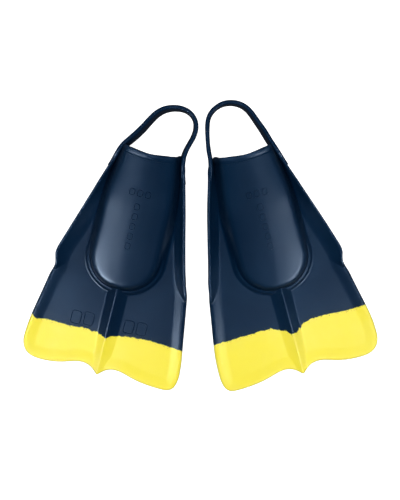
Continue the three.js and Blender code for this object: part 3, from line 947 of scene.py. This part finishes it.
def outer_plan(toe, flange, length):
    """Control points of the outer face: distance inward, what the height means, height.

    Heights are in millimetres, shares of the wall, or measured from the roof. The shares are
    mixed from a plain wall's, first, and those of the ledge round the toe.
    """
    return [(0.4, "height", WALL_FOOT_Z), (0.4, "height", 12.5),
            (0.5 - 3.1 * flange, "height", 14.6), (0.5 - 2.7 * flange, "height", WEB_TOP),
            (0.6 - flange, "height", WEB_TOP + 0.25), (0.9, "share", mix(0.06, 0.12, toe)),
            (2.3, "share", mix(0.20, 0.25, toe)), (4.0, "share", mix(0.42, 0.31, toe)),
            (6.0, "share", mix(0.67, 0.37, toe)), (7.6, "share", mix(0.88, 0.82, toe)),
            (SHOULDER_IN, "roof", -SHOULDER_DROP), (10.8, "roof", -1.4), (13.5, "roof", -0.35),
            (17.5, "roof", -0.03), (mix(17.5, length, 0.5), "roof", 0.0), (length, "roof", 0.0)]


def inner_plan(length):
    """Control points of the inner face, a wall's thickness further in."""
    return [(POCKET_WALL, "height", WALL_FOOT_Z), (POCKET_WALL, "height", 12.0),
            (5.4, "share", 0.02), (7.4, "share", 0.24), (9.6, "share", 0.50),
            (11.6, "share", 0.72), (13.4, "roof", -8.2), (15.6, "roof", -5.7),
            (18.4, "roof", -4.7), (mix(18.4, length, 0.5), "roof", -4.5),
            (length, "roof", -4.5)]


def pocket_surface(inner):
    """Grid of points on the outer or the inner face, one row for each line."""
    base, spine = pocket_lines()
    length = np.linalg.norm(spine - base, axis=1)
    toe = 1 - smooth_step(base[:, 1], 146, 178)
    flange = 1 - smooth_step(base[:, 1], 270, 286)
    raised = LIP_RISE * (1 - smooth_step(MOUTH_Y + MOUTH_DIP - base[:, 1], 2.2, 4.4))
    top_of_wall = roof_z(*line_plan(base, spine, SHOULDER_IN)) - SHOULDER_DROP
    plan = inner_plan(length) if inner else outer_plan(toe, flange, length)
    controls = []
    for inward, kind, value in plan:
        a, y = line_plan(base, spine, np.minimum(inward, length))
        if kind == "height":
            z = np.full(len(a), value)
        elif kind == "share":
            z = mix(WEB_TOP + 0.3, top_of_wall, value)
        else:
            z = roof_z(a, y) + value
        if not inner:
            z = z + raised * (np.asarray(inward) > 4)
        controls.append(np.stack([a, y, z], axis=1))
    weights = spline_weights(len(plan), LINE_SAMPLES)
    return np.einsum("tc,cnk->ntk", weights, np.array(controls))


# %% [markdown]
# Every line has the same number of control points, so the rings that they draw run all the way
# round the toe without a break. Towards the mouth the ledge melts into a plain wall, and the
# pocket becomes an arch over the instep.

# %% Build the pocket
def pocket_upper(fin):
    """Outer face, inner face, a rolled lip at the mouth and a foot on the sole."""
    outer, inner = pocket_surface(inner=False), pocket_surface(inner=True)
    middle, half = (outer + inner) / 2, (outer - inner) / 2
    bulge = np.linalg.norm(half, axis=2, keepdims=True) * 0.7 * [0, 1, 0]
    turn = np.linspace(0, math.pi, 7)[1:-1, None, None]
    first, last = [middle[end] + half[end] * np.cos(turn) + bulge[end] * np.sin(turn)
                   for end in (0, -1)]
    lines, samples = outer.shape[:2]
    loop = np.concatenate([outer, last, inner[::-1], first[::-1]])
    points = loop.transpose(1, 0, 2).reshape(-1, 3)
    far = 2 * lines + 4  # the inner line that faces the first outer one
    faces = loop_faces(samples, len(loop)).tolist()
    faces += [[k, k + 1, far - k - 1, far - k] for k in range(lines - 1)]
    faces += [range(lines - 1, lines + 6), [*range(far, len(loop)), 0]]
    near_lip = 1 - smooth_step(mouth_y(points[:, 0]) - points[:, 1], 0.5, 4.0)
    return make_piece(f"{fin.name}_foot_pocket", fin, points, faces, navy,
                      wear=near_lip * (points[:, 2] > 20), crease=60)


pockets = {fin.name: pocket_upper(fin) for fin in FINS}

# %% [markdown]
# ## The sole
#
# A plate under the foot, with a rounded lower edge. Its outline is that of the pocket, a
# hair larger, so that a fine seam runs round the fin where the two charges meet.

# %% Build the sole plate
SOLE_TOP = 5.0
SOLE_PROUD = 0.25
SOLE_RECESS = 1.2
SOLE_ROUND = 1.6
SOLE_END_Y = 297.0


def sole_outline(offset):
    """Outline of the sole, moved outwards by offset."""
    side_y = np.linspace(SOLE_END_Y + offset, TOE_CENTRE_Y, 60)
    angle = np.linspace(math.pi / 2, -math.pi / 2, 90)[1:-1]
    return pocket_outline(side_y, angle, offset)


def sole_plate(fin):
    """Rings of the outline stacked from the bottom face to the top face."""
    turn = np.linspace(0, math.pi / 2, 6)
    rings = [(-12, SOLE_RECESS), (-7, SOLE_RECESS), (-5.8, 0.0), (-3, 0.0)]
    rings += [(-SOLE_ROUND * (1 - math.sin(t)), SOLE_ROUND * (1 - math.cos(t))) for t in turn]
    rings += [(0, SOLE_TOP - 0.5), (-0.5, SOLE_TOP), (-4, SOLE_TOP), (-12, SOLE_TOP)]
    outlines = [sole_outline(SOLE_PROUD + inset) for inset, _ in rings]
    count = len(outlines[0])
    points = np.concatenate([np.insert(outline, 2, z, axis=1)
                             for outline, (_, z) in zip(outlines, rings)])
    cap = np.array([[k, k + 1, count - 2 - k, count - 1 - k] for k in range(count // 2 - 1)])
    faces = np.concatenate([loop_faces(len(rings), count), cap[:, ::-1],
                            cap + (len(rings) - 1) * count])
    return make_piece(f"{fin.name}_sole_plate", fin, points, faces, navy,
                      wear=(points[:, 2] < 2) * 0.6, crease=40)


soles = {fin.name: sole_plate(fin) for fin in FINS}

# %% [markdown]
# ## Geometry Nodes that sweep a section along a path
#
# The heel strap is a rounded band that follows a path, so it is swept: a curve for the path,
# a rounded rectangle for the section, and Curve to Mesh between them. The curve's points
# carry a tilt, which leans the band outwards, and a radius, which swells it at the roots,
# where it flows into the walls of the pocket. The ends run on into the rails, out of sight.

# %% The sweep tree
class GeometryTree:
    """A Geometry Nodes tree built in the script, with named inputs."""

    def __init__(self, name):
        self.tree = bpy.data.node_groups.new(name, "GeometryNodeTree")
        for way in ("INPUT", "OUTPUT"):
            self.socket("Geometry", way, "NodeSocketGeometry")
        self.start = self.tree.nodes.new("NodeGroupInput")
        self.end = self.tree.nodes.new("NodeGroupOutput")

    def socket(self, name, way, kind):
        """Adds one input or output to the tree."""
        self.tree.interface.new_socket(name, in_out=way, socket_type=kind)

    def numbers(self, *names):
        """Adds inputs that carry numbers, and returns them."""
        for name in names:
            self.socket(name, "INPUT", "NodeSocketFloat")
        return [self.start.outputs[name] for name in names]

    def node(self, kind, settings=None, **links):
        """Adds a node, its settings first and then its inputs; returns its first output."""
        made = self.tree.nodes.new(kind)
        for key, value in (settings or {}).items():
            setattr(made, key, value)
        for name, value in links.items():
            connect(self.tree, made.inputs[name.replace("_", " ")], value)
        return made.outputs[0]

    def rounded(self, width, height, corner, steps):
        """A rectangle with rounded corners, as a curve."""
        flat = self.node("GeometryNodeCurvePrimitiveQuadrilateral", Width=width, Height=height)
        return self.node("GeometryNodeFilletCurve", {"mode": "POLY"}, Curve=flat,
                         Radius=corner, Count=steps, Limit_Radius=True)

    def close(self, geometry):
        """Ends the tree with plain geometry in navy rubber."""
        solid = self.node("GeometryNodeRealizeInstances", Geometry=geometry)
        coloured = self.node("GeometryNodeSetMaterial", Geometry=solid, Material=navy)
        self.tree.links.new(coloured, self.end.inputs[0])
        return self.tree


def band_tree():
    """Sweeps a rounded rectangle along a curve."""
    tree = GeometryTree("sweep_band")
    section = tree.rounded(*tree.numbers("Thickness", "Height", "Corner"), 6)
    return tree.close(tree.node("GeometryNodeCurveToMesh", Curve=tree.start.outputs["Geometry"],
                                Profile_Curve=section, Fill_Caps=True))


def path_curve(name, points, tilts, radii):
    """A curve object through points, in metres."""
    data = bpy.data.curves.new(name, "CURVE")
    data.dimensions = "3D"
    data.twist_mode = "Z_UP"
    spline = data.splines.new("POLY")
    spline.points.add(len(points) - 1)
    for place, point, tilt, radius in zip(spline.points, points, tilts, radii):
        place.co = (*point, 1.0)
        place.tilt = tilt
        place.radius = radius
    curve = bpy.data.objects.new(name, data)
    bpy.context.scene.collection.objects.link(curve)
    return curve


def apply_tree(name, source, tree, sizes, **finish):
    """Runs a tree on an object, with sizes in millimetres, and keeps a plain mesh object."""
    modifier = source.modifiers.new("shape", "NODES")
    modifier.node_group = tree
    for item in tree.interface.items_tree:
        if item.in_out == "INPUT" and item.name in sizes:
            modifier[item.identifier] = sizes[item.name] * MM
    graph = bpy.context.evaluated_depsgraph_get()
    mesh = bpy.data.meshes.new_from_object(source.evaluated_get(graph), depsgraph=graph)
    bpy.data.objects.remove(source)
    mesh.name = name
    return finish_mesh(name, mesh, **finish)


def spline_path(points, count):
    """A smooth path through given points (Catmull-Rom), evenly spaced."""
    points = np.array(points, float)
    ends = np.concatenate([[2 * points[0] - points[1]], points, [2 * points[-1] - points[-2]]])
    dense = []
    for before, here, there, after in zip(ends, ends[1:], ends[2:], ends[3:]):
        for t in np.linspace(0, 1, 12, endpoint=False):
            dense.append(0.5 * (2 * here + (there - before) * t
                                + (2 * before - 5 * here + 4 * there - after) * t ** 2
                                + (3 * here - before - 3 * there + after) * t ** 3))
    dense = np.array(dense + [points[-1]])
    for _ in range(30):
        dense[1:-1] = (dense[:-2] + 2 * dense[1:-1] + dense[2:]) / 4
    return along_curve(dense, np.linspace(0, 1, count))


# %% Build the heel straps
STRAP_SIZES = {"Thickness": 5.5, "Height": 21.0, "Corner": 2.3}
STRAP_SWELL = 0.34  # shares of its size, at the roots and at its ends in the rails
STRAP_SHRINK = 0.28
STRAP_SINK = 9.0
sweep = band_tree()


def heel_strap(fin):
    """The band behind the heel, swollen at its roots and leaning outwards."""
    path = spline_path(fin.strap_line, 170)
    swollen = smooth_step(path[:, 1], 272, 298) * (1 - smooth_step(path[:, 1], 302, 328))
    buried = 1 - smooth_step(path[:, 1], 270, 296)
    radii = 1 + STRAP_SWELL * swollen - STRAP_SHRINK * buried
    tilts = -np.radians(path[:, 2]) * (-1 if fin.mirrored else 1)
    places = np.column_stack([path[:, :2], STRAP_Z - STRAP_SINK * buried])
    curve = path_curve("strap_path", fin.place(places), tilts, radii)
    return apply_tree(f"{fin.name}_strap_band", curve, sweep, STRAP_SIZES, wear=0.25, crease=70)


straps = {fin.name: heel_strap(fin) for fin in FINS}

# %% [markdown]
# ## Marks, the bead on the rim and the tread
#
# Outlined panels stand where a moulding would carry its maker's words: a row across the
# instep and a column down the middle. They are plain on purpose. The left blade has a row of
# wider ones. A thin bead follows the rim of the mouth, and a herringbone of low bars grips
# the ground from the recess of the sole. All of them are one shape repeated on points, or
# one section swept along a path.

# %% Trees that repeat a bar and an outline
def repeated_tree(name, outlined):
    """Bars, or outlines of bars, on the points of a mesh, each turned by its own angles."""
    tree = GeometryTree(name)
    width, length, height, corner = tree.numbers("Width", "Length", "Height", "Corner")
    flat = tree.rounded(width, length, corner, 4)
    if outlined:
        wire = tree.node("GeometryNodeCurvePrimitiveCircle", Resolution=10, Radius=height)
        shape = tree.node("GeometryNodeCurveToMesh", Curve=flat, Profile_Curve=wire)
    else:
        face = tree.node("GeometryNodeFillCurve", Curve=flat)
        lift = tree.node("ShaderNodeCombineXYZ", Z=height)
        raised = tree.node("GeometryNodeExtrudeMesh", Mesh=face, Offset=lift, Individual=False)
        under = tree.node("GeometryNodeFlipFaces", Mesh=face)
        both = tree.node("GeometryNodeJoinGeometry", Geometry=raised)
        tree.tree.links.new(under, both.node.inputs[0])
        shape = tree.node("GeometryNodeMergeByDistance", Geometry=both, Distance=0.01 * MM)
    angles = tree.node("GeometryNodeInputNamedAttribute", {"data_type": "FLOAT_VECTOR"},
                       Name="angles")
    return tree.close(tree.node("GeometryNodeInstanceOnPoints", Instance=shape, Rotation=angles,
                                Points=tree.start.outputs["Geometry"]))


bar_tree = repeated_tree("raised_bars", False)
outline_tree = repeated_tree("raised_outlines", True)


# %% Put the panels, the tread and the bead in place
BLADE_TILT = 2.2  # degrees
TREAD_TURN = 28.0
TREAD_INSET = 14.5


def repeat_on(fin, name, places, angles, tree, sizes):
    """Repeats a tree's shape on places (a, y, z); angles are degrees in the fin's frame."""
    name = f"{fin.name}_{name}"
    mesh = bpy.data.meshes.new(f"{name}_places")
    mesh.from_pydata(fin.place(places).tolist(), [], [])
    turn = math.atan2(fin.along[1], fin.along[0]) - math.pi / 2
    euler = np.radians(angles) * [1, -1 if fin.mirrored else 1, -1 if fin.mirrored else 1]
    layer = mesh.attributes.new("angles", "FLOAT_VECTOR", "POINT")
    layer.data.foreach_set("vector", (euler + [0, 0, turn]).astype(np.float32).reshape(-1))
    source = bpy.data.objects.new(f"{name}_places", mesh)
    bpy.context.scene.collection.objects.link(source)
    return apply_tree(name, source, tree, sizes, wear=0, crease=30)


def dome_marks(fin):
    """A row of outlined panels across the instep and a column below it, on the roof's slope."""
    row = [(a, 243.0) for a in (-10.5, 0.0, 10.5)]
    column = [(0.0, y) for y in (225.0, 212.0, 199.0, 186.0, 173.0)]
    a, y = np.array(row + column).T
    along = np.degrees(np.arctan(roof_z(a, y + 1) - roof_z(a, y)))
    across = -np.degrees(np.arctan(roof_z(a + 1, y) - roof_z(a, y)))
    return repeat_on(fin, "dome_marks", np.column_stack([a, y, roof_z(a, y) + 0.05]),
                     np.column_stack([along, across, 0 * a]), outline_tree,
                     {"Width": 6.6, "Length": 8.0, "Height": 0.55, "Corner": 2.2})


def blade_marks(fin):
    """Four outlined panels above the colour line, two on each side of the rib."""
    a = np.array([-45.0, -28.0, 26.0, 43.0])
    y = colour_line(fin, a) + 13.0
    spots = np.column_stack([a, y, top_z(a, y, np.full(4, 40.0)) + 0.15])
    return repeat_on(fin, "blade_marks", spots, np.tile([BLADE_TILT, 0, 0], (4, 1)),
                     outline_tree, {"Width": 13.0, "Length": 17.0, "Height": 0.8, "Corner": 3.5})


def sole_tread(fin):
    """A herringbone of bars in the recess of the sole."""
    spots, angles = [], []
    for row, y in enumerate(np.arange(124.0, 286.0, 9.0)):
        for column, a in enumerate(np.arange(-36.0, 37.0, 12.0)):
            if pocket_inset(a, y) > TREAD_INSET:
                spots.append((a, y, 0.0))
                angles.append((0.0, 0.0, TREAD_TURN if (row + column) % 2 else -TREAD_TURN))
    return repeat_on(fin, "sole_tread", spots, angles, bar_tree,
                     {"Width": 9.0, "Length": 2.6, "Height": 1.6, "Corner": 0.8})


def mouth_bead(fin):
    """A thin bead a few millimetres in from the rim of the mouth."""
    outer = pocket_surface(inner=False)
    first, last = [row[row[:, 2] > WEB_TOP + 7] for row in (outer[7], outer[-8])]
    path = along_curve(np.concatenate([first[:-1], last[::-1]]), np.linspace(0, 1, 90))
    curve = path_curve("rim_path", fin.place(path), np.zeros(90), np.ones(90))
    return apply_tree(f"{fin.name}_mouth_bead", curve, sweep,
                      {"Thickness": 1.9, "Height": 1.0, "Corner": 0.5}, wear=0, crease=50)


details = {fin.name: [dome_marks(fin), sole_tread(fin), mouth_bead(fin)] for fin in FINS}
left_panels = blade_marks(FINS[0])
print("details:", [piece.name for group in details.values() for piece in group])

# %% [markdown]
# ## A pale floor
#
# The floor is a plain white sheet that glows, like a lit table, so that shadows stay faint.
# It doesn't light the fins, and doesn't show in their sheen.

# %% Floor
FLOOR_HALF = 6.0
FLOOR_Z = -0.0005
FLOOR_GLOW = 0.90


def floor_sheet():
    """A square sheet just under the fins."""
    shader = Shader("white_floor")
    shader.feed(Base_Color=srgb(250, 250, 250), Roughness=0.8, Emission_Color=(1, 1, 1, 1),
                Emission_Strength=FLOOR_GLOW)
    mesh = bpy.data.meshes.new("floor")
    corners = [(x * FLOOR_HALF, y * FLOOR_HALF, FLOOR_Z)
               for x, y in ((-1, -1), (1, -1), (1, 1), (-1, 1))]
    mesh.from_pydata(corners, [], [(0, 1, 2, 3)])
    mesh.materials.append(shader.material)
    sheet = bpy.data.objects.new("floor", mesh)
    sheet.visible_diffuse = False
    sheet.visible_glossy = False
    bpy.context.scene.collection.objects.link(sheet)
    return sheet


floor_sheet()

# %% [markdown]
# ## Each side light for its own fin
#
# A flag hangs between the fins in a real studio, so that neither side light reaches across
# to the other fin's inner slopes. Light linking does the same without a card in the way.

# %% Link the side lights
for side, light in side_lights.items():
    receivers = bpy.data.collections.new(f"{light.name}_receivers")
    pieces = [group[side] for group in (slabs, tips, pockets, soles, straps)] + details[side]
    for piece in pieces + ([left_panels] if side == "left" else []):
        receivers.objects.link(piece)
    light.light_linking.receiver_collection = receivers
print("side lights linked")

# %% [markdown]
# ## Joining the rubber to the moving bodies
#
# The blade bends at the toe and again at the change of colour, and the strap swings about
# its roots. The rubber is continuous there. The slab, the tip and the strap, which cross
# those joints, only have their placing baked into their points and are not blended between
# bodies. The pocket, the sole and the small details ride the fin, the left blade's panels
# ride the blade, and the CAD parts that these pieces stand for are hidden.

# %% Ride and replace
BLADE_BEND = (116.0, 84.0)
TIP_BEND = 30.0
STRAP_BEND = (303.0, 326.0)
SLAB_NODES = ["side_rail_outer", "side_rail_inner", "side_web_outer", "side_web_inner",
              "blade_panel", "edge_bead_outer", "edge_bead_inner", "centre_rib"]


def at(fin, y, z):
    """A place on the fin's middle line, in the shared frame."""
    return tuple(float(value) for value in fin.place([[0.0, y, z]])[0])


for fin in FINS:
    side = fin.name
    slab, tip, pocket, sole, strap = [group[side] for group in
                                      (slabs, tips, pockets, soles, straps)]
    at(fin, BLADE_BEND[0], 14)
    at(fin, BLADE_BEND[1], 14)
    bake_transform(slab)
    at(fin, fin.colour_y + 4, 12)
    at(fin, fin.colour_y - TIP_BEND, 12)
    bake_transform(tip)
    at(fin, STRAP_BEND[0], STRAP_Z)
    at(fin, STRAP_BEND[1], STRAP_Z)
    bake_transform(strap)
    for piece in (pocket, sole, *details[side]):
        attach(piece, f"{side}_fin")
    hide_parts(*[f"{side}_{node}" for node in SLAB_NODES])
    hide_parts(f"{side}_blade_tip", f"{side}_tip_rib")
    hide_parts(f"{side}_heel_strap")
    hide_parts(f"{side}_foot_pocket_upper")
    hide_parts(f"{side}_foot_pocket_sole")
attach(left_panels, "left_blade")
